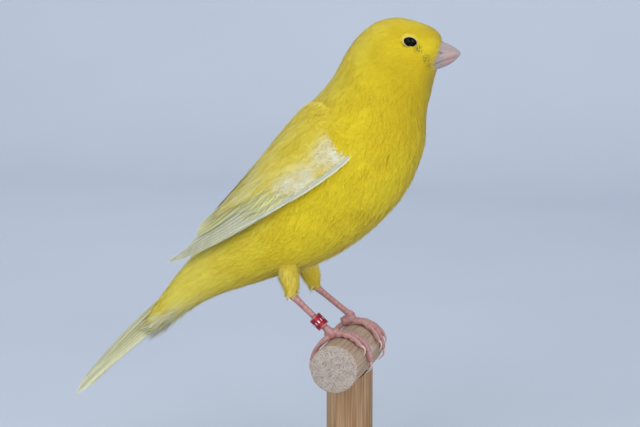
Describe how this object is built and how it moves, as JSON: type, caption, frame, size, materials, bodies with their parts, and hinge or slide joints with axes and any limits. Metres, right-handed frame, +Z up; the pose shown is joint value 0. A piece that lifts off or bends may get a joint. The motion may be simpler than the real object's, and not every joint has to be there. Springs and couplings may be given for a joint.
{
  "type": "canary display model",
  "caption": "Life-size yellow canary perched on a short wooden dowel, with folded wings and a leg ring, on a plain round stand.",
  "frame": {"origin": "centre of the base's underside, on the floor, under the post", "axes": "+X the way the bird faces, +Y its left side, +Z up"},
  "size_m": [0.1101, 0.06, 0.1281],
  "materials": {
    "plumage": "soft body feathers, bright yellow",
    "tail_feathers": "pale yellow feather vanes",
    "wing_feathers": "yellow and white feather vanes",
    "eye": "wet gloss",
    "bill": "satin horn, pinkish grey",
    "leg_skin": "scaled pink skin with pale claws",
    "ring": "red anodised",
    "perch_wood": "bare sanded dowel",
    "post_wood": "bare turned wood",
    "stand_wood": "plain satin wood"
  },
  "bodies": {
    "root": {"head": "plumage", "neck": "plumage", "torso": "plumage", "tail": "tail_feathers", "wing_right": "wing_feathers", "wing_left": "wing_feathers", "eye_right": "eye", "eye_left": "eye", "bill_upper": "bill", "bill_lower": "bill", "thigh_right": "plumage", "thigh_left": "plumage", "shank_right": "leg_skin", "shank_left": "leg_skin", "foot_right": "leg_skin", "foot_left": "leg_skin", "leg_ring": "ring", "perch": "perch_wood", "stand_post": "post_wood", "stand_base": "stand_wood"}
  },
  "joints": []
}
